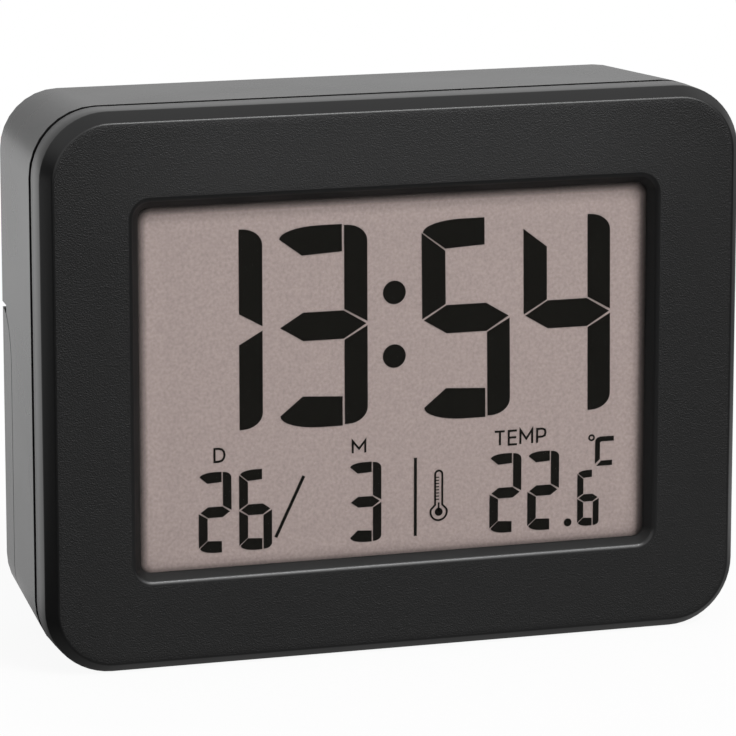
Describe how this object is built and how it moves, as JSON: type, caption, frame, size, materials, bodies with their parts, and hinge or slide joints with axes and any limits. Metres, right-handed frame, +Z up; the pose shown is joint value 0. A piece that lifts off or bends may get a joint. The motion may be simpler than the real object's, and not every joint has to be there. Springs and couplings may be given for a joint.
{
  "type": "digital alarm clock",
  "caption": "Boxy desk alarm clock with a framed display, rear controls, a battery bay with a sliding door and a fold-out stand.",
  "frame": {"origin": "on the surface that the clock stands on, under the middle of its width and depth", "axes": "+X to the right of someone facing the display, +Y away from them, +Z up; the display faces -Y"},
  "size_m": [0.105, 0.0354, 0.081],
  "materials": {
    "face_plastic": "fine moulded grain",
    "casing_plastic": "semi-gloss",
    "key_plastic": "satin",
    "clear_plastic": "clear",
    "display_ground": "reflective film",
    "display_dark": "dark film",
    "display_glass": "plain",
    "holder_plastic": "satin",
    "soft_rubber": "matt",
    "circuit_board": "varnished",
    "dark_plastic": "plain",
    "steel": "plated",
    "dark_metal": "blackened",
    "sleeve": "shrink sleeve",
    "cell_case": "printed jacket, plain",
    "cable": "plain",
    "wire_red": "plain",
    "wire_black": "plain"
  },
  "bodies": {
    "casing": {"front_bezel": "face_plastic", "window_lens": "clear_plastic", "lcd_face": "display_ground", "lcd_segments": "display_dark", "lcd_rear_glass": "display_glass", "lcd_frame": "holder_plastic", "zebra_strip_upper": "soft_rubber", "zebra_strip_lower": "soft_rubber", "main_board": "circuit_board", "clock_chip": "dark_plastic", "buzzer": "dark_plastic", "crystal": "steel", "capacitor_1": "sleeve", "capacitor_2": "sleeve", "temperature_sensor": "dark_plastic", "board_screw_1": "steel", "board_screw_2": "steel", "board_screw_3": "steel", "board_screw_4": "steel", "key_board": "circuit_board", "switch_set": "dark_metal", "switch_up": "dark_metal", "switch_down": "dark_metal", "switch_unit": "dark_metal", "switch_light": "dark_metal", "alarm_switch": "dark_metal", "key_board_screw_1": "steel", "key_board_screw_2": "steel", "ribbon_cable": "cable", "contact_positive": "steel", "contact_negative": "steel", "contact_link": "steel", "battery_upper": "cell_case", "battery_lower": "cell_case", "wire_positive": "wire_red", "wire_negative": "wire_black", "rear_cover": "casing_plastic", "rear_screw_1": "dark_metal", "rear_screw_2": "dark_metal", "rear_screw_3": "dark_metal", "rear_screw_4": "dark_metal"},
    "stand": {"stand": "casing_plastic"},
    "battery_door": {"battery_door": "casing_plastic"},
    "set_key": {"key_set": "key_plastic", "plunger_set": "dark_plastic"},
    "up_key": {"key_up": "key_plastic", "plunger_up": "dark_plastic"},
    "down_key": {"key_down": "key_plastic", "plunger_down": "dark_plastic"},
    "unit_key": {"key_unit": "key_plastic", "plunger_unit": "dark_plastic"},
    "light_key": {"key_light": "key_plastic", "plunger_light": "dark_plastic"},
    "alarm_knob": {"alarm_knob": "key_plastic"}
  },
  "joints": [
    {"name": "stand_hinge", "type": "hinge", "parent": "casing", "child": "stand", "pos_m": [0, 0.01505, 0.04545], "axis": [1, 0, 0], "range_deg": [0, 50]},
    {"name": "battery_door_slide", "type": "slide", "parent": "casing", "child": "battery_door", "axis": [0, 0, -1], "range_m": [0, 0.006]},
    {"name": "set_key_press", "type": "slide", "parent": "casing", "child": "set_key", "axis": [0, -1, 0], "range_m": [0, 0.0005], "stiffness_N_per_m": 300},
    {"name": "up_key_press", "type": "slide", "parent": "casing", "child": "up_key", "axis": [0, -1, 0], "range_m": [0, 0.0005], "stiffness_N_per_m": 300},
    {"name": "down_key_press", "type": "slide", "parent": "casing", "child": "down_key", "axis": [0, -1, 0], "range_m": [0, 0.0005], "stiffness_N_per_m": 300},
    {"name": "unit_key_press", "type": "slide", "parent": "casing", "child": "unit_key", "axis": [0, -1, 0], "range_m": [0, 0.0005], "stiffness_N_per_m": 300},
    {"name": "light_key_press", "type": "slide", "parent": "casing", "child": "light_key", "axis": [0, -1, 0], "range_m": [0, 0.0005], "stiffness_N_per_m": 300},
    {"name": "alarm_switch_slide", "type": "slide", "parent": "casing", "child": "alarm_knob", "axis": [1, 0, 0], "range_m": [0, 0.004]}
  ]
}
